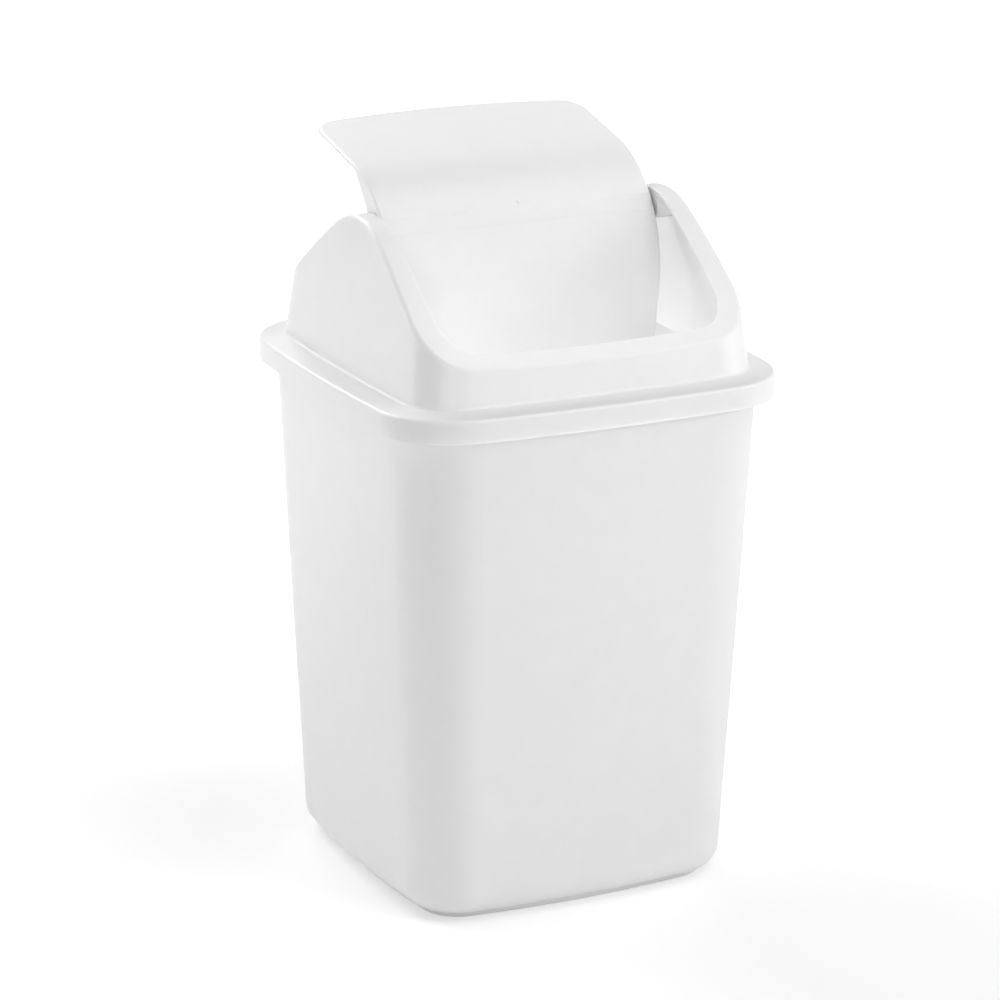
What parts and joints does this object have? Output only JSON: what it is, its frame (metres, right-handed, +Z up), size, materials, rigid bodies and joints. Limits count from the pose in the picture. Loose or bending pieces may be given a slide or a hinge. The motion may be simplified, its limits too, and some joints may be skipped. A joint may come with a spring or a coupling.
{
  "type": "swing-lid countertop bin",
  "caption": "Small square tapered waste bin with a lift-off hood and a swing flap hung on stub pins, standing on a foot ring.",
  "frame": {"origin": "on the surface the bin stands on, under the middle of the bin", "axes": "+Z up, -Y towards the front, +X to the right as seen from the front; the flap's pivot line runs along X"},
  "size_m": [0.1836, 0.1836, 0.3155],
  "materials": {
    "bucket_plastic": "satin moulded polypropylene, white",
    "hood_plastic": "satin moulded polypropylene, white",
    "flap_plastic": "satin moulded polypropylene, white"
  },
  "bodies": {
    "bucket": {"bin_body": "bucket_plastic"},
    "hood": {"lid_hood": "hood_plastic"},
    "flap": {"swing_flap": "flap_plastic"}
  },
  "joints": [
    {"name": "lid_lift", "type": "slide", "parent": "bucket", "child": "hood", "axis": [0, 0, 1], "range_m": [0, 0.08]},
    {"name": "flap_swing", "type": "hinge", "parent": "hood", "child": "flap", "pos_m": [0, 0, 0.281], "axis": [1, 0, 0], "range_deg": [-116, 4]}
  ]
}
